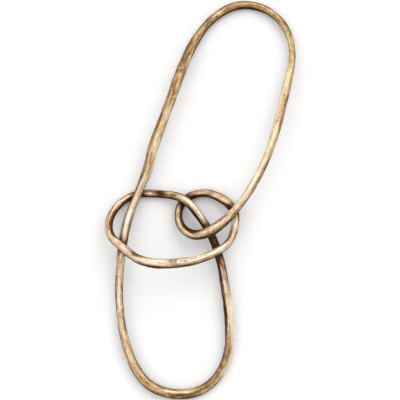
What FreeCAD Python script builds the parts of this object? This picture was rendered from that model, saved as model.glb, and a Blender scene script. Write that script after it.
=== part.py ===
import FreeCAD, Part

import math
import os

from FreeCAD import Placement, Rotation, Vector

doc = FreeCAD.newDocument("metal_knot_sculpture")

# Driving dimensions
# Lengths are millimetres. The sculpture lies on a table: +Y runs along it towards the crown of
# the upper loop, +X to its right and +Z up from the table.
dimension_rows = [
    ("bar_diameter", 12.7, "forged bar, before it swells or tapers"),
    ("straight_section", 40.0, "longest run between sections where the bar hardly turns"),
    ("upper_loop_width", 229.0, "back left crossing to the far side of the upper loop"),
    ("upper_loop_length", 281.5, "ring's back to the crown"),
    ("upper_loop_rise", 35.0, "underside of the right limb above the table"),
    ("ring_width", 188.0, "centreline of the ring, left to right"),
    ("ring_depth", 102.0, "centreline of the ring, back to front"),
    ("ring_rise", 60.0, "underside of the ring's front above the table"),
    ("ring_left", 134.5, "left of the ring from the middle of the sculpture"),
    ("ring_back", 9.5, "back of the ring from the middle of the sculpture"),
    ("lower_loop_width", 159.0, "front left crossing to the right of the lower loop"),
    ("lower_loop_length", 198.5, "ring's front to the foot of the lower loop"),
    ("lower_loop_rise", 14.0, "underside of the lower loop where it leaves the ring"),
    ("crossing_gap", 0.9, "straight up, between strands that lean on each other"),
    ("ring_clearance", 16.0, "air between the raised ring and the strands under it"),
    ("limb_clearance", 12.0, "air between the right limb and the ring under it"),
    ("rest_depth", 0.3, "depth of the worn flats that the sculpture rests on"),
    ("weld_width", 3.0, "filler between two square bar ends"),
    ("weld_crown", 0.3, "how far a weld stands proud of the bar"),
]
sheet = doc.addObject("Spreadsheet::Sheet", "dimensions")
for row, (alias, value, note) in enumerate(dimension_rows, start=1):
    sheet.set(f"A{row}", note)
    sheet.set(f"B{row}", str(value))
    sheet.setAlias(f"B{row}", alias)
doc.recompute()

# Crossings
# Across is a share of the ring's width from its left, down a share of its depth from its back.
# Height is the lower strand's underside as a share of the ring's rise. The last two are how
# thick the lower and the upper strand are there, as shares of the bar's diameter.
crossing_shares = {
    "back_left": (0.221, 0.012, 0.015, 0.87, 0.92),
    "front_left": (0.103, 0.760, 0.240, 1.02, 0.99),
    "front_right": (0.852, 0.832, 0.210, 0.98, 0.89),
    "curl_back": (0.594, 0.094, 0.035, 0.96, 0.98),
    "curl_front": (0.789, 0.548, 0.250, 0.99, 1.30),
    "right_limb": (0.983, 0.252, 0.175, 1.03, 0.93),
}

# Strands between the crossings, in the order that the bar is followed
# Each row is across, along, the underside's height and the thickness there, as shares, and the
# name of the weld where one length of bar ends and the next begins.
upper_loop_shares = [
    (0.060, 0.115, 0.44, 1.09, "left_limb_weld"),
    (0.101, 0.235, 0.51, 1.20, None),
    (0.183, 0.420, 0.54, 1.17, None),
    (0.270, 0.619, 0.44, 1.18, None),
    (0.342, 0.759, 0.28, 1.16, "shoulder_weld"),
    (0.445, 0.891, 0.13, 0.93, None),
    (0.668, 1.000, 0.00, 1.00, None),
    (0.884, 0.952, 0.07, 0.88, None),
    (1.003, 0.780, 0.27, 0.76, None),
    (0.970, 0.575, 0.50, 1.05, None),
    (0.919, 0.404, 0.71, 1.06, "upper_right_weld"),
    (0.837, 0.195, 0.93, 0.92, None),
    (0.744, 0.043, 1.01, 0.94, None),
]
limb_end_shares = [
    (0.901, 0.407, 0.545, 1.17, None),
]
curl_left_shares = [
    (0.675, 0.598, 0.36, 1.20, None),
    (0.576, 0.494, 0.235, 1.00, None),
    (0.545, 0.305, 0.125, 0.94, None),
]
curl_top_shares = [
    (0.750, -0.006, 0.045, 0.92, None),
    (0.891, 0.077, 0.095, 1.05, None),
]
ring_right_shares = [
    (0.993, 0.430, 0.31, 0.93, None),
    (0.946, 0.692, 0.51, 0.87, None),
]
ring_front_shares = [
    (0.695, 0.948, 0.895, 1.00, None),
    (0.525, 0.995, 0.995, 1.13, "ring_front_weld"),
    (0.315, 0.982, 0.96, 1.11, None),
    (0.203, 0.905, 0.86, 1.01, None),
]
ring_left_shares = [
    (0.018, 0.609, 0.56, 0.95, None),
    (0.000, 0.415, 0.36, 0.96, None),
    (0.076, 0.157, 0.145, 0.92, None),
]
ring_back_shares = [
    (0.310, -0.001, 0.00, 0.93, None),
    (0.405, 0.007, 0.03, 0.92, "ring_back_weld"),
]
diagonal_shares = [
    (0.700, 0.300, 0.26, 1.00, None),
]
lower_loop_shares = [
    (0.957, 0.170, 0.68, 1.06, None),
    (1.000, 0.475, 0.60, 1.07, None),
    (0.942, 0.790, 0.25, 1.01, None),
    (0.770, 0.949, 0.00, 1.15, None),
    (0.535, 0.997, 0.09, 1.19, "foot_weld"),
    (0.250, 0.925, 0.25, 1.20, None),
    (0.050, 0.665, 0.54, 1.06, None),
    (-0.028, 0.325, 0.82, 0.90, None),
    (-0.028, 0.085, 0.97, 0.96, None),
]
lower_limb_shares = [
    (0.146, 0.378, 0.23, 1.03, None),
]

# Lengths of bar, each from the weld it starts at
bar_names = {
    "left_limb_weld": "left_limb_bar",
    "shoulder_weld": "crown_bar",
    "upper_right_weld": "right_limb_bar",
    "curl_weld": "curl_bar",
    "ring_front_weld": "ring_bar",
    "ring_back_weld": "diagonal_bar",
    "foot_weld": "lower_left_bar",
}

# Round sections in one full turn of the bar, and the steps in which its bends are measured, for
# each diameter of its length
sections_per_turn = 36
steps_per_diameter = 12

# Bars that touch the table
resting_bars = ["crown_bar", "ring_bar", "diagonal_bar"]


def size(alias):
    return float(sheet.get(alias))


# Stations of the centreline
# A station is its plan position, the height of the bar's underside, the bar's thickness and
# the name of a weld there.
def in_ring(across, down, height, thickness, weld=None):
    return (
        size("ring_width") * across - size("ring_left"),
        size("ring_back") - size("ring_depth") * down,
        size("ring_rise") * height,
        size("bar_diameter") * thickness,
        weld,
    )


def in_upper_loop(across, along, height, thickness, weld=None):
    loop_left = in_ring(*crossing_shares["back_left"][:4])[0]
    return (
        loop_left + size("upper_loop_width") * across,
        size("ring_back") + size("upper_loop_length") * along,
        size("upper_loop_rise") * height,
        size("bar_diameter") * thickness,
        weld,
    )


def in_lower_loop(across, along, height, thickness, weld=None):
    loop_left = in_ring(*crossing_shares["front_left"][:4])[0]
    return (
        loop_left + size("lower_loop_width") * across,
        size("ring_back") - size("ring_depth") - size("lower_loop_length") * along,
        size("lower_loop_rise") * height,
        size("bar_diameter") * thickness,
        weld,
    )


def under(crossing):
    return in_ring(*crossing_shares[crossing][:4])


def over(crossing, clearance=0.0, weld=None):
    x, y, lower_underside, lower_thickness = under(crossing)[:4]
    underside = lower_underside + lower_thickness + size("crossing_gap") + clearance
    thickness = size("bar_diameter") * crossing_shares[crossing][-1]
    return (x, y, underside, thickness, weld)


stations = [
    over("back_left"),
    *[in_upper_loop(*row) for row in upper_loop_shares],
    over("right_limb", size("limb_clearance")),
    *[in_ring(*row) for row in limb_end_shares],
    over("curl_front", weld="curl_weld"),
    *[in_ring(*row) for row in curl_left_shares],
    under("curl_back"),
    *[in_ring(*row) for row in curl_top_shares],
    under("right_limb"),
    *[in_ring(*row) for row in ring_right_shares],
    over("front_right", size("ring_clearance")),
    *[in_ring(*row) for row in ring_front_shares],
    over("front_left", size("ring_clearance")),
    *[in_ring(*row) for row in ring_left_shares],
    under("back_left"),
    *[in_ring(*row) for row in ring_back_shares],
    over("curl_back"),
    *[in_ring(*row) for row in diagonal_shares],
    under("curl_front"),
    under("front_right"),
    *[in_lower_loop(*row) for row in lower_loop_shares],
    under("front_left"),
    *[in_ring(*row) for row in lower_limb_shares],
]

# Centreline
# One smooth closed curve through the stations. Its parameter is the distance along the chords.
points = [
    Vector(x, y, underside + thickness / 2 - size("rest_depth"))
    for x, y, underside, thickness, _ in stations
]
distances = [0.0]
for start, end in zip(points, points[1:] + points[:1]):
    distances.append(distances[-1] + (end - start).Length)
centreline = Part.BSplineCurve()
centreline.interpolate(Points=points, Parameters=distances, PeriodicFlag=True)
route_length = distances[-1]


def wrapped(distance):
    return distance % route_length


def direction_at(distance):
    return centreline.tangent(wrapped(distance))[0]


def thickness_share_at(distance):
    """The bar's thickness there, as a share of its diameter."""
    place = wrapped(distance)
    index = max(i for i, start in enumerate(distances[:-1]) if start <= place)
    following = stations[(index + 1) % len(stations)]
    passed = (place - distances[index]) / (distances[index + 1] - distances[index])
    thickness = stations[index][3] * (1 - passed) + following[3] * passed
    return thickness / size("bar_diameter")


def placement_at(distance):
    """A place on the centreline, with its Z along the bar."""
    up = Vector(0, 0, 1)
    along = direction_at(distance)
    turn = Rotation(up.cross(along), up, along, "ZXY")
    return Placement(centreline.value(wrapped(distance)), turn)


def carried_on(placement, distance):
    """The next place along the bar, turned from the last with no twist."""
    last_direction = placement.Rotation.multVec(Vector(0, 0, 1))
    turn = Rotation(last_direction, direction_at(distance))
    return Placement(centreline.value(wrapped(distance)), turn * placement.Rotation)


def beside(placement, offset):
    """A place straight ahead of another, or behind it."""
    return placement * Placement(Vector(0, 0, offset), Rotation())


def add_section(name, placement, across):
    """A round section of the bar, as wide across as the expression says."""
    section = doc.addObject("Part::Circle", name)
    section.setExpression("Radius", f"({across}) / 2")
    section.Placement = placement
    return section


def bar_thickness(distance):
    return f"dimensions.bar_diameter * {thickness_share_at(distance):.4f}"


def add_loft(name, sections):
    loft = doc.addObject("Part::Loft", name)
    loft.Sections = sections
    loft.Solid = True
    loft.Ruled = True
    return loft


def section_distances(start, end):
    """Places of a bar's sections, closer together where it turns more."""
    steps = math.ceil((end - start) / size("bar_diameter") * steps_per_diameter)
    marks = [start + (end - start) * i / steps for i in range(steps + 1)]
    demand = [0.0]
    for first, last in zip(marks, marks[1:]):
        turning = direction_at(first).getAngle(direction_at(last)) / (2 * math.pi)
        straight = (last - first) / size("straight_section")
        demand.append(demand[-1] + turning * sections_per_turn + straight)
    count = math.ceil(demand[-1])
    wanted = [demand[-1] * i / count for i in range(1, count)]
    return [place_in(marks, demand, level) for level in wanted]


def place_in(marks, demand, level):
    """The place along the bar where the demand for sections reaches a level."""
    index = max(i for i, reached in enumerate(demand[:-1]) if reached <= level)
    passed = (level - demand[index]) / (demand[index + 1] - demand[index])
    return marks[index] + (marks[index + 1] - marks[index]) * passed


# Bars and welds
# A bar is a ruled loft through round sections, from the square end at one weld to the square end
# at the next. A weld is the disc of filler between two such ends, a little proud of both.
half_weld = size("weld_width") / 2
weld_places = [(distances[i], row[4]) for i, row in enumerate(stations) if row[4]]
next_places = weld_places[1:] + [(weld_places[0][0] + route_length, weld_places[0][1])]
pieces = {}
for (start, weld), (end, _) in zip(weld_places, next_places):
    bar = bar_names[weld]
    place = beside(placement_at(start), half_weld)
    sections = [add_section(f"{bar}_start", place, bar_thickness(start))]
    for i, distance in enumerate(section_distances(start + half_weld, end - half_weld)):
        place = carried_on(place, distance)
        sections.append(add_section(f"{bar}_section_{i}", place, bar_thickness(distance)))
    place = beside(carried_on(place, end), -half_weld)
    sections.append(add_section(f"{bar}_end", place, bar_thickness(end)))
    pieces[bar] = add_loft(f"{bar}_loft", sections)

    crown = f"{bar_thickness(start)} + 2 * dimensions.weld_crown"
    before = add_section(f"{weld}_before", beside(placement_at(start), -half_weld), crown)
    after = add_section(f"{weld}_after", beside(placement_at(start), half_weld), crown)
    pieces[weld] = add_loft(f"{weld}_disc", [before, after])

# Worn flats
# The bars that touch the table are cut level with it.
table = doc.addObject("Part::Box", "table")
table.setExpression("Length", "2 * dimensions.upper_loop_width")
table.setExpression("Width", "4 * dimensions.upper_loop_length")
table.setExpression("Height", "dimensions.bar_diameter")
table.setExpression("Placement.Base.x", "-dimensions.upper_loop_width")
table.setExpression("Placement.Base.y", "-2 * dimensions.upper_loop_length")
table.setExpression("Placement.Base.z", "-dimensions.bar_diameter")
for bar in resting_bars:
    rested = doc.addObject("Part::Cut", f"{bar}_rested")
    rested.Base = pieces[bar]
    rested.Tool = table
    pieces[bar] = rested

for name, piece in pieces.items():
    piece.Label = name
doc.recompute()

# Checks and files
for item in doc.Objects:
    if "Invalid" in item.State or "Error" in item.State:
        raise RuntimeError(f"{item.Label} did not compute: {item.State}")
for name, piece in pieces.items():
    shape = piece.Shape
    if shape.isNull() or not shape.isValid() or len(shape.Solids) != 1:
        raise RuntimeError(f"{name} is not one valid solid")

os.makedirs("parts", exist_ok=True)
for name, piece in pieces.items():
    piece.Shape.exportStep(f"parts/{name}.step")
    box = piece.Shape.BoundBox
    print(f"{name}: {box.XLength:.1f} x {box.YLength:.1f} x {box.ZLength:.1f} mm")
print(f"centreline {centreline.length():.0f} mm")
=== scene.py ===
"""Metal knot sculpture: a hand-forged brass bar, interlaced into one closed knot."""

import math

import bmesh
import bpy
import numpy as np
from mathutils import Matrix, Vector


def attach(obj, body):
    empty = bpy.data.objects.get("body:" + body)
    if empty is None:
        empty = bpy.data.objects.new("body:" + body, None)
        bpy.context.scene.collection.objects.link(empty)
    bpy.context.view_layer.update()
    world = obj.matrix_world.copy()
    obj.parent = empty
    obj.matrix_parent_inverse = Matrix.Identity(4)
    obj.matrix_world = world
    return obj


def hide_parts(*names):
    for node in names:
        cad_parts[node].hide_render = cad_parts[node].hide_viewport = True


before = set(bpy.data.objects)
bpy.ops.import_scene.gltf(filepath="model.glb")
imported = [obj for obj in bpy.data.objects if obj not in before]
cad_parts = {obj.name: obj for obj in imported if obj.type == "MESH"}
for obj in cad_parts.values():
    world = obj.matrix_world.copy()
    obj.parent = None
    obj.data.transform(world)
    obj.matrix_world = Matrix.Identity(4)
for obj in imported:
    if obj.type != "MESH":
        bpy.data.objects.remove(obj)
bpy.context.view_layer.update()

mm = 0.001

# Sizes
# The same bar, loops and ring as the frame was made from.
bar_diameter = 12.7 * mm
upper_loop_width = 229.0 * mm
upper_loop_length = 281.5 * mm
upper_loop_rise = 35.0 * mm
ring_width = 188.0 * mm
ring_depth = 102.0 * mm
ring_rise = 60.0 * mm
ring_left = 134.5 * mm
ring_back = 9.5 * mm
lower_loop_width = 159.0 * mm
lower_loop_length = 198.5 * mm
lower_loop_rise = 14.0 * mm
crossing_gap = 0.9 * mm
ring_clearance = 16.0 * mm
limb_clearance = 12.0 * mm
rest_depth = 0.3 * mm
weld_width = 3.0 * mm

# Crossings
# Across and down the ring, height, and how thick the lower and the upper strand are there.
crossing_shares = {
    "back_left": (0.221, 0.012, 0.015, 0.87, 0.92),
    "front_left": (0.103, 0.760, 0.240, 1.02, 0.99),
    "front_right": (0.852, 0.832, 0.210, 0.98, 0.89),
    "curl_back": (0.594, 0.094, 0.035, 0.96, 0.98),
    "curl_front": (0.789, 0.548, 0.250, 0.99, 1.30),
    "right_limb": (0.983, 0.252, 0.175, 1.03, 0.93),
}

# Strands between the crossings, in the order that the bar is followed
# Each row is across, along, the underside's height, the thickness and the weld that is there.
upper_loop_shares = [
    (0.060, 0.115, 0.44, 1.09, "left_limb_weld"),
    (0.101, 0.235, 0.51, 1.20, None),
    (0.183, 0.420, 0.54, 1.17, None),
    (0.270, 0.619, 0.44, 1.18, None),
    (0.342, 0.759, 0.28, 1.16, "shoulder_weld"),
    (0.445, 0.891, 0.13, 0.93, None),
    (0.668, 1.000, 0.00, 1.00, None),
    (0.884, 0.952, 0.07, 0.88, None),
    (1.003, 0.780, 0.27, 0.76, None),
    (0.970, 0.575, 0.50, 1.05, None),
    (0.919, 0.404, 0.71, 1.06, "upper_right_weld"),
    (0.837, 0.195, 0.93, 0.92, None),
    (0.744, 0.043, 1.01, 0.94, None),
]
limb_end_shares = [
    (0.901, 0.407, 0.545, 1.17, None),
]
curl_left_shares = [
    (0.675, 0.598, 0.36, 1.20, None),
    (0.576, 0.494, 0.235, 1.00, None),
    (0.545, 0.305, 0.125, 0.94, None),
]
curl_top_shares = [
    (0.750, -0.006, 0.045, 0.92, None),
    (0.891, 0.077, 0.095, 1.05, None),
]
ring_right_shares = [
    (0.993, 0.430, 0.31, 0.93, None),
    (0.946, 0.692, 0.51, 0.87, None),
]
ring_front_shares = [
    (0.695, 0.948, 0.895, 1.00, None),
    (0.525, 0.995, 0.995, 1.13, "ring_front_weld"),
    (0.315, 0.982, 0.96, 1.11, None),
    (0.203, 0.905, 0.86, 1.01, None),
]
ring_left_shares = [
    (0.018, 0.609, 0.56, 0.95, None),
    (0.000, 0.415, 0.36, 0.96, None),
    (0.076, 0.157, 0.145, 0.92, None),
]
ring_back_shares = [
    (0.310, -0.001, 0.00, 0.93, None),
    (0.405, 0.007, 0.03, 0.92, "ring_back_weld"),
]
diagonal_shares = [
    (0.700, 0.300, 0.26, 1.00, None),
]
lower_loop_shares = [
    (0.957, 0.170, 0.68, 1.06, None),
    (1.000, 0.475, 0.60, 1.07, None),
    (0.942, 0.790, 0.25, 1.01, None),
    (0.770, 0.949, 0.00, 1.15, None),
    (0.535, 0.997, 0.09, 1.19, "foot_weld"),
    (0.250, 0.925, 0.25, 1.20, None),
    (0.050, 0.665, 0.54, 1.06, None),
    (-0.028, 0.325, 0.82, 0.90, None),
    (-0.028, 0.085, 0.97, 0.96, None),
]
lower_limb_shares = [
    (0.146, 0.378, 0.23, 1.03, None),
]

# Lengths of bar, each from the weld it starts at
bar_names = {
    "left_limb_weld": "left_limb_bar",
    "shoulder_weld": "crown_bar",
    "upper_right_weld": "right_limb_bar",
    "curl_weld": "curl_bar",
    "ring_front_weld": "ring_bar",
    "ring_back_weld": "diagonal_bar",
    "foot_weld": "lower_left_bar",
}


def in_ring(across, down, height, thickness, weld=None):
    """A station by its shares across the ring, down it from the back, and of its rise."""
    place = (
        ring_width * across - ring_left,
        ring_back - ring_depth * down,
        ring_rise * height,
        bar_diameter * thickness,
    )
    return (*place, weld)


def in_upper_loop(across, along, height, thickness, weld=None):
    """A station by its shares across the upper loop, along it to the crown, and of its rise."""
    loop_left = in_ring(*crossing_shares["back_left"][:4])[0]
    place = (
        loop_left + upper_loop_width * across,
        ring_back + upper_loop_length * along,
        upper_loop_rise * height,
        bar_diameter * thickness,
    )
    return (*place, weld)


def in_lower_loop(across, along, height, thickness, weld=None):
    """A station by its shares across the lower loop, along it to the foot, and of its rise."""
    loop_left = in_ring(*crossing_shares["front_left"][:4])[0]
    place = (
        loop_left + lower_loop_width * across,
        ring_back - ring_depth - lower_loop_length * along,
        lower_loop_rise * height,
        bar_diameter * thickness,
    )
    return (*place, weld)


def under(crossing):
    """The station of a crossing's lower strand."""
    return in_ring(*crossing_shares[crossing][:4])


def over(crossing, clearance=0.0, weld=None):
    """The station of a crossing's upper strand, on the lower one or clear of it."""
    x, y, lower_underside, lower_thickness = under(crossing)[:4]
    underside = lower_underside + lower_thickness + crossing_gap + clearance
    return (x, y, underside, bar_diameter * crossing_shares[crossing][-1], weld)


stations = [
    over("back_left"),
    *[in_upper_loop(*row) for row in upper_loop_shares],
    over("right_limb", limb_clearance),
    *[in_ring(*row) for row in limb_end_shares],
    over("curl_front", weld="curl_weld"),
    *[in_ring(*row) for row in curl_left_shares],
    under("curl_back"),
    *[in_ring(*row) for row in curl_top_shares],
    under("right_limb"),
    *[in_ring(*row) for row in ring_right_shares],
    over("front_right", ring_clearance),
    *[in_ring(*row) for row in ring_front_shares],
    over("front_left", ring_clearance),
    *[in_ring(*row) for row in ring_left_shares],
    under("back_left"),
    *[in_ring(*row) for row in ring_back_shares],
    over("curl_back"),
    *[in_ring(*row) for row in diagonal_shares],
    under("curl_front"),
    under("front_right"),
    *[in_lower_loop(*row) for row in lower_loop_shares],
    under("front_left"),
    *[in_ring(*row) for row in lower_limb_shares],
]


# Centreline
# One smooth closed curve through the stations, with the chord length as its parameter.
points = np.array([(x, y, low + thick / 2 - rest_depth) for x, y, low, thick, _ in stations])
thicknesses = np.array([row[3] for row in stations])
gaps = np.linalg.norm(np.roll(points, -1, axis=0) - points, axis=1)
distances = np.concatenate([[0.0], np.cumsum(gaps)])
route_length = distances[-1]


def tangents_at_stations():
    """The slopes that make the curve's bends run on smoothly through every station."""
    count = len(points)
    system = np.zeros((count, count))
    wanted = np.zeros((count, 3))
    for i in range(count):
        before, after = gaps[i - 1], gaps[i]
        following = (i + 1) % count
        system[i, i - 1] += 1 / before
        system[i, i] += 2 * (1 / before + 1 / after)
        system[i, following] += 1 / after
        arriving = (points[i] - points[i - 1]) / before**2
        leaving = (points[following] - points[i]) / after**2
        wanted[i] = 3 * (arriving + leaving)
    return np.linalg.solve(system, wanted)


tangents = tangents_at_stations()


def route(places):
    """Points, directions and thicknesses of the bar at an array of distances along it."""
    places = np.asarray(places) % route_length
    index = np.clip(np.searchsorted(distances, places, side="right") - 1, 0, len(points) - 1)
    following = (index + 1) % len(points)
    gap = gaps[index][:, None]
    share = ((places - distances[index]) / gaps[index])[:, None]
    start, end = points[index], points[following]
    leave, arrive = tangents[index] * gap, tangents[following] * gap
    middle = (
        (2 * share**3 - 3 * share**2 + 1) * start
        + (share**3 - 2 * share**2 + share) * leave
        + (3 * share**2 - 2 * share**3) * end
        + (share**3 - share**2) * arrive
    )
    direction = (
        (6 * share**2 - 6 * share) * start
        + (3 * share**2 - 4 * share + 1) * leave
        + (6 * share - 6 * share**2) * end
        + (3 * share**2 - 2 * share) * arrive
    )
    direction /= np.linalg.norm(direction, axis=1, keepdims=True)
    passed = share[:, 0]
    thick = thicknesses[index] * (1 - passed) + thicknesses[following] * passed
    return middle, direction, thick


# Forged surface
# Everything here is worked out on the bar as if it were straight, by the distance along it and
# the angle round it from the top, so that it runs on from one length of bar to the next. A
# place is the distance from the back left crossing, and an angle grows to the right hand of
# someone who follows the bar. All random draws are seeded, so every run makes the same bar.
chance = np.random.default_rng(1907)


def waves(count, longest, shortest, turns, seed):
    """Random smooth waves that close up both along the whole bar and round it."""
    dice = np.random.default_rng(seed)
    lengths = np.exp(dice.uniform(math.log(shortest), math.log(longest), count))
    along = np.round(route_length / lengths)
    around = dice.integers(-turns, turns + 1, count)
    phases = dice.uniform(0, 2 * math.pi, count)

    def height(place, angle):
        total = np.zeros(np.broadcast(place, angle).shape)
        for crests, turned, phase in zip(along, around, phases):
            total = total + np.cos(
                2 * math.pi * crests * place / route_length + turned * angle + phase
            )
        return total / math.sqrt(count / 2)

    return height


# The hammer leaves flat faces round the bar. They drift round it and cut more or less deep. Their
# reach is how far the middle of a face lies from the centreline, as a share of the radius.
facet_count = 8
facet_reach = 0.950
facet_reach_change = 0.025
facet_drift_angle = 0.30
corner_sharpness = 26
facet_drift = [waves(5, 300 * mm, 80 * mm, 0, 10 + k) for k in range(facet_count)]
facet_depth = [waves(8, 140 * mm, 30 * mm, 0, 40 + k) for k in range(facet_count)]
# The bar is made a little thicker before the faces are cut, and swells and thins by small shares
# of its radius.
stock_size = 1.030
swelling_size = 0.010
grain_size = 0.0022
swelling = waves(10, 90 * mm, 20 * mm, 1, 71)
grain = waves(24, 14 * mm, 5 * mm, 6, 72)
# Shallow dints of the hammer's edge, at random places.
dint_count = 300
dint_place = chance.uniform(0, route_length, dint_count)
dint_angle = chance.uniform(-math.pi, math.pi, dint_count)
dint_length = chance.uniform(6.0, 15.0, dint_count) * mm
dint_width = chance.uniform(2.0, 4.0, dint_count) * mm
dint_depth = chance.uniform(0.05, 0.20, dint_count) * mm

# Pits and hollows that the photograph shows: place, angle in degrees, length, width and depth
# in millimetres, and how brown they are.
marks = [
    (248.0, 17, 2.6, 1.4, 0.35, 0.20),
    (222.5, 10, 3.6, 1.8, 0.40, 0.28),
    (194.5, 0, 3.6, 1.6, 0.30, 0.20),
    (158.0, 15, 4.0, 1.6, 0.30, 0.20),
    (294.0, 22, 4.0, 2.0, 0.25, 0.22),
    (755.0, 4, 1.4, 3.4, 0.22, 0.08),
    (553.0, 5, 2.4, 1.5, 0.45, 0.28),
    (557.5, 16, 2.6, 1.5, 0.45, 0.28),
    (518.0, 12, 1.8, 1.2, 0.30, 0.25),
    (1060.0, 20, 7.0, 2.6, 0.20, 0.30),
    (1664.5, 28, 2.6, 1.6, 0.35, 0.20),
    (1706.0, -22, 7.0, 2.2, 0.20, 0.20),
    (1724.0, 34, 8.0, 2.0, 0.20, 0.20),
    (1866.0, 48, 2.5, 1.4, 0.35, 0.30),
    (1304.0, -21, 9.0, 3.0, 0.35, 0.10),
    (1330.0, -8, 7.0, 3.2, 0.35, 0.05),
]
# Small pits at random places all over the bar, written in the same way.
pit_count = 520
pits = [
    (
        chance.uniform(0, route_length / mm),
        chance.uniform(-180, 180),
        chance.uniform(1.0, 2.2),
        chance.uniform(0.7, 1.2),
        chance.uniform(0.08, 0.25),
        chance.uniform(0.10, 0.32),
    )
    for _ in range(pit_count)
]
# Places where a joint was ground flush: place, angle in degrees, length and width in
# millimetres. They are bare out to their rims, because their shares are raised.
ground_spots = [
    (1078.0, 30, 8.0, 3.4),
    (1066.0, 24, 4.0, 1.4),
]
ground_raise = 1.6
# Folds, where the bar was lapped over and hammered shut: start place and angle, end place and
# angle, depth in millimetres, and how brown they are. They fade out at both ends.
lap_fold = (30.0, 22, 104.0, 78, 0.40, 0.22)
folds = [
    lap_fold,
    (34.0, -12, 70.0, -48, 0.20, 0.10),
    (322.0, 56, 370.0, 62, 0.70, 1.00),
    (1008.0, -20, 1062.0, -8, 0.15, 0.15),
    (1240.0, 20, 1292.0, 34, 0.20, 0.15),
]
fold_width = 1.0 * mm
fold_fade = 8
# The lap on the left limb stands out to the right of its fold as far as the bar's underside, and
# starts with a step. The lap's edge is soft over an angle, and its step over a length.
lap_start = 24.0 * mm
lap_end = 104.0 * mm
lap_height = 0.75 * mm
lap_far_angle = 2.6
lap_edge_angle = 0.08
lap_step_length = 0.7 * mm


def wrapped_gap(value, period):
    """The shortest way from zero to a value on a closed round, with its sign."""
    return (value + period / 2) % period - period / 2


def marks_on(place):
    """The marks and pits that reach a stretch of the bar."""
    middle = (place[0, 0] + place[-1, 0]) / 2
    half = (place[-1, 0] - place[0, 0]) / 2
    return [
        mark
        for mark in marks + pits
        if abs(wrapped_gap(mark[0] * mm - middle, route_length)) < half + mark[2] * mm
    ]


def mark_share(place, angle, mark):
    """How far inside a mark each place is, from 0 at its rim to 1 in its middle."""
    middle, turn, length, width = mark[:4]
    ahead = wrapped_gap(place - middle * mm, route_length) / (length * mm)
    aside = wrapped_gap(angle - math.radians(turn), 2 * math.pi) * bar_diameter / 2 / (width * mm)
    return np.clip(1 - ahead**2 - aside**2, 0, 1)


def fold_share(place, angle, fold):
    """How close each place is to the line of a fold, from 0 to 1 on the line."""
    start, start_angle, end, end_angle = fold[:4]
    passed = (place / mm % (route_length / mm) - start) / (end - start)
    line = np.radians(start_angle + (end_angle - start_angle) * passed)
    aside = wrapped_gap(angle - line, 2 * math.pi) * bar_diameter / 2 / fold_width
    fade = np.clip(np.minimum(passed, 1 - passed) * fold_fade, 0, 1)
    return np.exp(-(aside**2)) * fade


def lap_share(place, angle):
    """Where the lap on the left limb stands out from the bar under it."""
    ahead = place % route_length - lap_start
    passed = ahead / (lap_end - lap_start)
    _, start_angle, _, end_angle = lap_fold[:4]
    line = np.radians(start_angle + (end_angle - start_angle) * passed)
    beside = 1 / (1 + np.exp(-(angle - line) / lap_edge_angle)) * (angle < lap_far_angle)
    step = 1 / (1 + np.exp(-ahead / lap_step_length))
    return beside * step * np.clip(1 - passed, 0, 1)


def forged_radius(place, angle, thick):
    """The bar's radius at each place and angle, after hammering."""
    radius = thick / 2
    flats = np.zeros(np.broadcast(place, angle).shape)
    for k in range(facet_count):
        middle = 2 * math.pi * k / facet_count + facet_drift_angle * facet_drift[k](place, 0.0)
        reach = facet_reach + facet_reach_change * facet_depth[k](place, 0.0)
        lean = np.maximum(np.cos(angle - middle), 0.0) / reach
        flats = flats + lean**corner_sharpness
    shape = (1 + flats) ** (-1 / corner_sharpness)
    size = stock_size + swelling_size * swelling(place, angle) + grain_size * grain(place, angle)
    surface = radius * shape * size
    for i in range(dint_count):
        ahead = wrapped_gap(place[:, 0] - dint_place[i], route_length) / dint_length[i]
        rows = np.abs(ahead) < 1
        if not rows.any():
            continue
        aside = wrapped_gap(angle - dint_angle[i], 2 * math.pi) * bar_diameter / 2 / dint_width[i]
        fall = np.clip(1 - ahead[rows][:, None] ** 2 - aside**2, 0, 1)
        surface[rows] -= dint_depth[i] * fall
    for mark in marks_on(place):
        surface -= mark[4] * mm * mark_share(place, angle, mark)
    for fold in folds:
        surface -= fold[4] * mm * fold_share(place, angle, fold)
    return surface + lap_height * lap_share(place, angle)


# Finish and painted shade
# Every strand was rubbed back by a different amount, and one side of a strand is painted
# darker where less light falls on it. A row gives where a strand starts, how brown it is on its
# left, middle and right, from 0 where it is rubbed bright to 1 where it is darkest, as patina
# and painted shade together, and how golden the brass shows. It holds in the middle of the
# strand and runs evenly into the next.
strand_tones_and_shade = [
    (over("back_left"), 0.4, 0.2, 0.1, 0.7),
    (in_upper_loop(*upper_loop_shares[2]), 0.5, 0.5, 0.4, 1.0),
    (in_upper_loop(*upper_loop_shares[5]), 0.5, 0.4, 0.0, 1.0),
    (in_upper_loop(*upper_loop_shares[10]), 0.4, 0.1, 0.1, 0.5),
    (over("curl_front", weld="curl_weld"), 0.4, 0.4, 0.5, 0.3),
    (under("right_limb"), 0.4, 0.2, 0.0, 0.2),
    (over("front_right", ring_clearance), 0.3, 0.2, 0.1, 0.3),
    (over("front_left", ring_clearance), 0.3, 0.3, 0.4, 0.2),
    (under("back_left"), 0.4, 0.3, 0.3, 0.3),
    (over("curl_back"), 0.1, 0.3, 0.8, 0.0),
    (under("curl_front"), 0.8, 0.6, 0.9, 0.0),
    (under("front_right"), 0.0, 0.2, 0.8, 0.3),
    (in_lower_loop(*lower_loop_shares[2]), 0.3, 0.6, 0.0, 0.9),
    (in_lower_loop(*lower_loop_shares[5]), 0.4, 0.1, 0.4, 0.5),
    (under("front_left"), 0.4, 0.1, 0.3, 0.1),
]
strand_starts = np.array([distances[stations.index(row[0])] for row in strand_tones_and_shade])
strand_ends = np.append(strand_starts[1:], route_length)
strand_middles = (strand_starts + strand_ends) / 2
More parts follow.
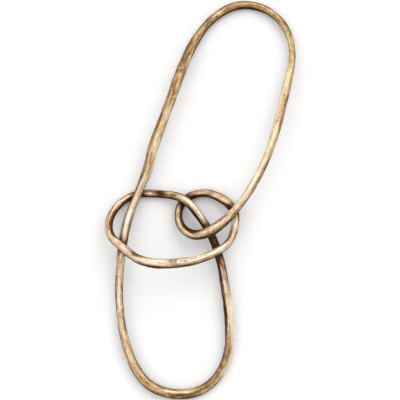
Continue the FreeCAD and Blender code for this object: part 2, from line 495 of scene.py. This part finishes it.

# What is darker: the rims of the sides, with painted shade, more where the side wasn't rubbed;
# the side turned to the foot, with painted shade as from a light above the crown; the inside of a
# tight bend, with kept patina and painted shade; and the places where another strand lies over
# the bar, with a painted shadow.
# Bands give where each sets in and where it is full, as the share by which the surface leans
# to the side, to the foot or to the inside of a bend.
side_band = (0.12, 0.57)
# Painted shade along the rims of the sides, more where the side wasn't rubbed.
rim_painted_shade = 0.40
rim_band = (0.76, 0.98)
rim_least = 0.2
rim_gain = 2
# Painted shade on the side turned to the foot, as from a light above the crown.
foot_side_painted_shade = 0.50
foot_side_band = (0.30, 0.80)
# The inside of a tight bend keeps patina and is painted darker as shade too.
inside_brown_and_shade = 0.52
inside_band = (0.00, 0.60)
tight_bend = 30.0 * mm
# Painted shadow where another strand lies over the bar.
covered_painted_shadow = 0.60
covered_shadow_reach = 11.0 * mm
underside_brown = 0.70
underside_sharpness = 3
# A place that lies lower than the rest of its ring is browner, and a higher one is brighter.
hollow_brown = 2.2
hollow_least = -0.08
hollow_most = 0.35
covered_places = [distances[stations.index(under(crossing))] for crossing in crossing_shares]

# Slow patches, mottle and lengthwise streaks, and how golden the brass shows.
patch_size = 0.020
mottle_size = 0.022
streak_size = 0.040
golden_size = 0.12
patch_waves = waves(16, 120 * mm, 35 * mm, 2, 86)
mottle_waves = waves(26, 60 * mm, 8 * mm, 3, 83)
streak_waves = waves(40, 120 * mm, 25 * mm, 12, 84)
golden_waves = waves(14, 90 * mm, 20 * mm, 1, 85)


def eased(value, start, end):
    """Rises smoothly from 0 at the start to 1 at the end."""
    share = np.clip((value - start) / (end - start), 0, 1)
    return share**2 * (3 - 2 * share)


def along_strands(place, column):
    """A column of the strands' finish, at every place along the bar."""
    values = [row[column] for row in strand_tones_and_shade]
    return np.interp(place[:, 0], strand_middles, values, period=route_length)[:, None]


def patina_and_shade(place, angle, hollow, to_foot, inside):
    """How brown the surface is, patina and painted shade together, from 0 rubbed bright to 1."""
    aside = np.sin(angle) + np.zeros_like(place)
    left, middle, right = (along_strands(place, column) for column in (1, 2, 3))
    # A strand's left and right sides hold painted shade as well as patina.
    side = np.where(aside < 0, left, right)
    brown_and_shade = middle + (side - middle) * eased(np.abs(aside), *side_band)
    # Painted shade along the rims of the sides, less where the side is rubbed bright.
    rim_shade_share = np.minimum(1, rim_gain * side + rim_least)
    brown_and_shade = brown_and_shade + rim_painted_shade * rim_shade_share * eased(np.abs(aside), *rim_band)
    # Painted shade on the side turned to the foot.
    brown_and_shade = brown_and_shade + foot_side_painted_shade * eased(to_foot, *foot_side_band)
    # Patina and painted shade on the inside of a bend.
    brown_and_shade = brown_and_shade + inside_brown_and_shade * eased(inside, *inside_band)
    # Painted shadow where another strand lies over the bar.
    for covered in covered_places:
        beside = wrapped_gap(place - covered, route_length) / covered_shadow_reach
        brown_and_shade = brown_and_shade + covered_painted_shadow * np.exp(-(beside**2))
    below = np.clip(-np.cos(angle) * underside_sharpness, 0, 1)
    brown_and_shade = brown_and_shade + (np.maximum(brown_and_shade, underside_brown) - brown_and_shade) * below
    brown_and_shade = brown_and_shade + patch_size * patch_waves(place, angle) + hollow
    brown_and_shade = brown_and_shade + mottle_size * mottle_waves(place, angle)
    brown_and_shade = brown_and_shade + streak_size * streak_waves(place, angle)
    for mark in marks_on(place):
        brown_and_shade = brown_and_shade + mark[5] * mark_share(place, angle, mark)
    for fold in folds:
        brown_and_shade = brown_and_shade + fold[5] * fold_share(place, angle, fold)
    return np.clip(brown_and_shade, 0, 1)


def golden(place, angle):
    """How golden the brass shows, where its surface isn't rubbed down to the pale metal."""
    return np.clip(along_strands(place, 4) + golden_size * golden_waves(place, angle), 0, 1)


# Building the bar
ring_step = 1.0 * mm
ring_sides = 48
weld_proud = 0.12 * mm


def next_ring(shape, ring, edges):
    """Extrudes a ring of edges, and gives the new ring in the same order."""
    made = bmesh.ops.extrude_edge_only(shape, edges=edges)["geom"]
    fresh = {item for item in made if isinstance(item, bmesh.types.BMVert)}
    new_edges = [item for item in made if isinstance(item, bmesh.types.BMEdge)]
    rim = [edge for edge in new_edges if fresh.issuperset(edge.verts)]
    above = {}
    for vert in ring:
        for edge in vert.link_edges:
            other = edge.other_vert(vert)
            if other in fresh:
                above[vert] = other
    return [above[vert] for vert in ring], rim


def forge(name, start, end, proud=0.0):
    """One length of the bar, extruded ring by ring along the centreline, as a closed solid."""
    count = max(4, math.ceil((end - start) / ring_step))
    place = np.linspace(start, end, count + 1)[:, None]
    angle = (2 * math.pi * np.arange(ring_sides) / ring_sides)[None, :]
    angle = np.where(angle > math.pi, angle - 2 * math.pi, angle)
    middle, direction, thick = route(place[:, 0])
    right = np.cross(direction, (0.0, 0.0, 1.0))
    right /= np.linalg.norm(right, axis=1, keepdims=True)
    up = np.cross(right, direction)
    surface = forged_radius(place, angle, thick[:, None])
    surface = surface + proud * np.sin(math.pi * (place - start) / (end - start)) ** 0.5
    aside = np.sin(angle)[:, :, None] * right[:, None, :]
    outward = aside + np.cos(angle)[:, :, None] * up[:, None, :]
    spots = middle[:, None, :] + surface[:, :, None] * outward
    # Where the bar rests on the table, it is worn flat.
    spots[:, :, 2] = np.maximum(spots[:, :, 2], 0.0)
    across = surface / thick[:, None] * 2
    lower = np.mean(across, axis=1, keepdims=True) - across
    hollow = np.clip(lower * hollow_brown, hollow_least, hollow_most)
    bend = (route(place[:, 0] + mm)[1] - route(place[:, 0] - mm)[1]) / (2 * mm)
    inside = np.einsum("ij,ikj->ik", bend, outward) * tight_bend
    # Brown of patina, with painted shade on rims, on the side to the foot, in bends and under
    # crossings.
    brown_and_shade = patina_and_shade(place, angle, hollow, -outward[:, :, 1], inside)
    gold = golden(place, angle)
    bare = sum(mark_share(place, angle, spot) for spot in ground_spots)

    shape = bmesh.new()
    # This attribute carries painted shade as well as patina.
    brown_and_shade_layer = shape.verts.layers.float.new("patina_and_shade")
    gold_layer = shape.verts.layers.float.new("golden")
    bare_layer = shape.verts.layers.float.new("ground")
    straight_layer = shape.verts.layers.float_vector.new("straight")
    bmesh.ops.create_circle(shape, cap_ends=False, segments=ring_sides, radius=bar_diameter / 2)
    ring = list(shape.verts)
    edges = list(shape.edges)
    for i in range(count + 1):
        if i:
            ring, edges = next_ring(shape, ring, edges)
        for j, vert in enumerate(ring):
            vert.co = spots[i, j]
            vert[brown_and_shade_layer] = brown_and_shade[i, j]
            vert[gold_layer] = gold[i, j]
            vert[bare_layer] = min(1.0, ground_raise * bare[i, j])
            aside_part = surface[i, j] * math.sin(angle[0, j])
            up_part = surface[i, j] * math.cos(angle[0, j])
            vert[straight_layer] = (place[i, 0], aside_part, up_part)
    open_edges = [edge for edge in shape.edges if edge.is_boundary]
    bmesh.ops.holes_fill(shape, edges=open_edges, sides=ring_sides)
    bmesh.ops.recalc_face_normals(shape, faces=shape.faces)
    mesh = bpy.data.meshes.new(name)
    shape.to_mesh(mesh)
    shape.free()
    mesh.shade_smooth()
    piece = bpy.data.objects.new(name, mesh)
    bpy.context.scene.collection.objects.link(piece)
    return piece


# Materials
def linear(hex_colour):
    """A hex sRGB colour as linear values with alpha."""
    values = [int(hex_colour[i : i + 2], 16) / 255 for i in (1, 3, 5)]
    values = [v / 12.92 if v <= 0.04045 else ((v + 0.055) / 1.055) ** 2.4 for v in values]
    return (*values, 1.0)


def add_node(owner, kind, settings=None, inputs=None):
    """Adds a node to a material or a world; an input is a value or another node's output."""
    tree = owner.node_tree
    node = tree.nodes.new(kind)
    for key, value in (settings or {}).items():
        setattr(node, key, value)
    for key, value in (inputs or {}).items():
        if isinstance(value, bpy.types.NodeSocket):
            tree.links.new(value, node.inputs[key])
        else:
            node.inputs[key].default_value = value
    return node


def ramp(material, factor, stops):
    """A colour ramp through (place, hex colour) stops."""
    stops = list(stops)
    node = add_node(material, "ShaderNodeValToRGB", inputs={"Fac": factor})
    elements = node.color_ramp.elements
    while len(elements) < len(stops):
        elements.new(0.5)
    for element, (place, colour) in zip(elements, stops):
        element.position = place
        element.color = linear(colour)
    return node.outputs["Color"]


def new_material(name):
    material = bpy.data.materials.new(name)
    material.use_nodes = True
    material.node_tree.nodes.clear()
    return material


# From rubbed bright to full patina and the darkest painted shade, where the metal shows silvery
# and where it shows golden, and the bare metal of the ground places.
tone_steps = [0.00, 0.20, 0.40, 0.60, 0.80, 1.00]
silvery_colours = ["#fbf0e0", "#ebd6ba", "#c8a786", "#927154", "#61432b", "#3c2616"]
golden_colours = ["#f3e3c4", "#e0c597", "#c09e6e", "#8e6c46", "#5d4125", "#3a2513"]
ground_stops = [(0.30, "#5f564c"), (0.50, "#a1917d"), (0.70, "#cdbfab")]

# Lengths of the marks along the bar and across it. Real scratches of rubbing and filing are about
# a tenth of a millimetre wide, too fine for a picture with 1.5 mm to a pixel, so they are drawn
# about ten times as coarse to show at all.
rubbed_marks = (30 * mm, 1.8 * mm)
hammered_scratches = (7 * mm, 0.9 * mm)
hammered_dents = (4.5 * mm, 1.8 * mm)
filed_scratches = (0.7 * mm, 5 * mm)
filed_pits = (1.3 * mm, 1.3 * mm)
blotches = (16 * mm, 6 * mm)
# How much each of them shifts the tone, either way.
rubbed_shift = 0.22
scratched_shift = 0.26
dented_shift = 0.30
blotched_shift = 0.06
# Patina is rougher than rubbed brass, and dulls the metal where it is thick.
bright_roughness = 0.48
patina_roughness = 0.62
thick_patina = 0.55
patina_metallic = 0.85
rubbed_bump = {"Strength": 0.4, "Distance": 0.10 * mm}
dented_bump = {"Strength": 0.5, "Distance": 0.15 * mm}


def antiqued_brass(name, scratches, dents):
    """Brass browned all over and rubbed back to pale metal on the high places, with painted shade.

    The scratches and the dents are given by their length along the bar and across it.
    """
    material = new_material(name)
    # The attribute read here holds painted shade as well as patina.
    brown_and_shade = add_node(material, "ShaderNodeAttribute", {"attribute_name": "patina_and_shade"}).outputs["Fac"]
    gold = add_node(material, "ShaderNodeAttribute", {"attribute_name": "golden"}).outputs["Fac"]
    ground = add_node(material, "ShaderNodeAttribute", {"attribute_name": "ground"}).outputs["Fac"]
    unrolled = add_node(material, "ShaderNodeAttribute", {"attribute_name": "straight"})
    straight = unrolled.outputs["Vector"]

    def noise(along, across, detail):
        """Noise whose cells are the given lengths in metres, along and across the bar."""
        drawn = add_node(
            material,
            "ShaderNodeMapping",
            inputs={"Vector": straight, "Scale": (1 / along, 1 / across, 1 / across)},
        )
        cells = add_node(
            material,
            "ShaderNodeTexNoise",
            inputs={
                "Vector": drawn.outputs["Vector"],
                "Scale": 1.0,
                "Detail": detail,
                "Roughness": 0.6,
            },
        )
        return cells.outputs["Fac"]

    def spread(height, amount, base):
        """Adds noise to a value, as much as the amount says either way."""
        wide = {0: height, 1: 2 * amount, 2: -amount}
        part = add_node(material, "ShaderNodeMath", {"operation": "MULTIPLY_ADD"}, wide)
        settings = {"operation": "ADD", "use_clamp": True}
        both = {0: part.outputs[0], 1: base}
        return add_node(material, "ShaderNodeMath", settings, both).outputs[0]

    rubbed = noise(*rubbed_marks, 2.0)
    scratched = noise(*scratches, 2.0)
    dented = noise(*dents, 3.0)
    blotched = noise(*blotches, 3.0)
    tone = spread(rubbed, rubbed_shift, brown_and_shade)
    tone = spread(scratched, scratched_shift, tone)
    tone = spread(dented, dented_shift, tone)
    tone = spread(blotched, blotched_shift, tone)
    silvery = ramp(material, tone, zip(tone_steps, silvery_colours))
    yellow = ramp(material, tone, zip(tone_steps, golden_colours))
    # Sockets 6 and 7 of a colour mix are its two colours, and its third output is the result.
    colour_mix = {"data_type": "RGBA"}
    metals = {0: gold, 6: silvery, 7: yellow}
    colour = add_node(material, "ShaderNodeMix", colour_mix, metals).outputs[2]
    # Where the bar was ground, bare metal shows, greyer and duller than the rubbed brass.
    bare = ramp(material, scratched, ground_stops)
    ground_over = {0: ground, 6: colour, 7: bare}
    colour = add_node(material, "ShaderNodeMix", colour_mix, ground_over).outputs[2]
    rough = add_node(
        material,
        "ShaderNodeMapRange",
        inputs={
            "Value": tone,
            "From Min": 0.0,
            "From Max": 1.0,
            "To Min": bright_roughness,
            "To Max": patina_roughness,
        },
    ).outputs["Result"]
    metal = add_node(
        material,
        "ShaderNodeMapRange",
        inputs={
            "Value": tone,
            "From Min": thick_patina,
            "From Max": 1.0,
            "To Min": 1.0,
            "To Max": patina_metallic,
        },
    ).outputs["Result"]
    bump = add_node(
        material,
        "ShaderNodeBump",
        inputs={**rubbed_bump, "Height": rubbed},
    ).outputs["Normal"]
    bump = add_node(
        material,
        "ShaderNodeBump",
        inputs={**dented_bump, "Height": dented, "Normal": bump},
    ).outputs["Normal"]
    shader = add_node(
        material,
        "ShaderNodeBsdfPrincipled",
        inputs={"Base Color": colour, "Roughness": rough, "Metallic": metal, "Normal": bump},
    )
    add_node(material, "ShaderNodeOutputMaterial", inputs={"Surface": shader.outputs["BSDF"]})
    return material


def studio_floor():
    """Matt white paper, which shows as a white background."""
    material = new_material("matt_white_paper")
    shader = add_node(
        material,
        "ShaderNodeBsdfPrincipled",
        inputs={"Base Color": linear("#fbfbfb"), "Roughness": 0.9, "Specular IOR Level": 0.1},
    )
    add_node(material, "ShaderNodeOutputMaterial", inputs={"Surface": shader.outputs["BSDF"]})
    return material


# Pieces
# The bars are hammered and were rubbed lengthways. The brazed joints were filed across the
# bar, and pits are left in them.
forged = antiqued_brass("forged_brass_hammered_and_rubbed", hammered_scratches, hammered_dents)
filed = antiqued_brass("brazed_brass_filed_and_pitted", filed_scratches, filed_pits)
half_weld = weld_width / 2
weld_places = [(distances[i], row[4]) for i, row in enumerate(stations) if row[4]]
next_places = weld_places[1:] + [(weld_places[0][0] + route_length, weld_places[0][1])]
for (start, weld), (end, _) in zip(weld_places, next_places):
    bar = bar_names[weld]
    length = forge(f"{bar}_forged", start + half_weld, end - half_weld)
    length.data.materials.append(forged)
    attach(length, "root")
    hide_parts(bar)
    joint = forge(f"{weld}_filed", start - half_weld, start + half_weld, proud=weld_proud)
    joint.data.materials.append(filed)
    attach(joint, "root")
    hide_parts(weld)

# Studio
floor_reach = 8.0
floor_shape = bmesh.new()
bmesh.ops.create_grid(floor_shape, x_segments=1, y_segments=1, size=floor_reach)
floor_mesh = bpy.data.meshes.new("floor")
floor_shape.to_mesh(floor_mesh)
floor_shape.free()
floor = bpy.data.objects.new("floor", floor_mesh)
bpy.context.scene.collection.objects.link(floor)
floor.data.materials.append(studio_floor())


def add_sun(name, towards_light, strength, spread):
    """A soft lamp, far away, in the direction given."""
    lamp = bpy.data.lights.new(name, "SUN")
    lamp.energy = strength
    lamp.angle = math.radians(spread)
    holder = bpy.data.objects.new(name, lamp)
    holder.rotation_mode = "QUATERNION"
    holder.rotation_quaternion = Vector(towards_light).to_track_quat("Z", "Y")
    bpy.context.scene.collection.objects.link(holder)


add_sun("key", towards_light=(0.35, 0.75, 1.0), strength=0.75, spread=40)
add_sun("fill", towards_light=(-0.6, 0.1, 1.0), strength=0.35, spread=50)

# The light in the room is brighter towards the crown than towards the foot. The camera itself
# sees plain white where no floor is.
crown_side = (0.25, 0.90, 0.35)
light_at_foot = 0.45
light_at_crown = 1.10
world = bpy.data.worlds.new("studio")
bpy.context.scene.world = world
world.use_nodes = True
world.node_tree.nodes.clear()
towards = add_node(world, "ShaderNodeTexCoord").outputs["Generated"]
facing = add_node(
    world,
    "ShaderNodeVectorMath",
    {"operation": "DOT_PRODUCT"},
    {0: towards, 1: crown_side},
).outputs["Value"]
room = add_node(
    world,
    "ShaderNodeMapRange",
    inputs={
        "Value": facing,
        "From Min": -1.0,
        "From Max": 1.0,
        "To Min": light_at_foot,
        "To Max": light_at_crown,
    },
).outputs["Result"]
seen = add_node(world, "ShaderNodeLightPath").outputs["Is Camera Ray"]
strength = add_node(
    world,
    "ShaderNodeMix",
    {"data_type": "FLOAT"},
    {0: seen, 2: room, 3: 1.0},
).outputs[0]
backdrop = add_node(
    world,
    "ShaderNodeBackground",
    inputs={"Color": linear("#ffffff"), "Strength": strength},
)
add_node(world, "ShaderNodeOutputWorld", inputs={"Surface": backdrop.outputs["Background"]})

# Camera
# The photograph looks straight down. From what height isn't known, and 2.2 m is a guess, where
# one of its 400 pixels is 1.5 mm.
camera_height = 2.2
view_width = 0.6
camera = bpy.data.cameras.new("camera")
camera.sensor_width = 36.0
camera.lens = camera.sensor_width * camera_height / view_width
camera.clip_end = 30.0
viewer = bpy.data.objects.new("camera", camera)
viewer.location = (0.0, 0.0, camera_height)
bpy.context.scene.collection.objects.link(viewer)
bpy.context.scene.camera = viewer
bpy.context.scene.view_settings.view_transform = "Standard"
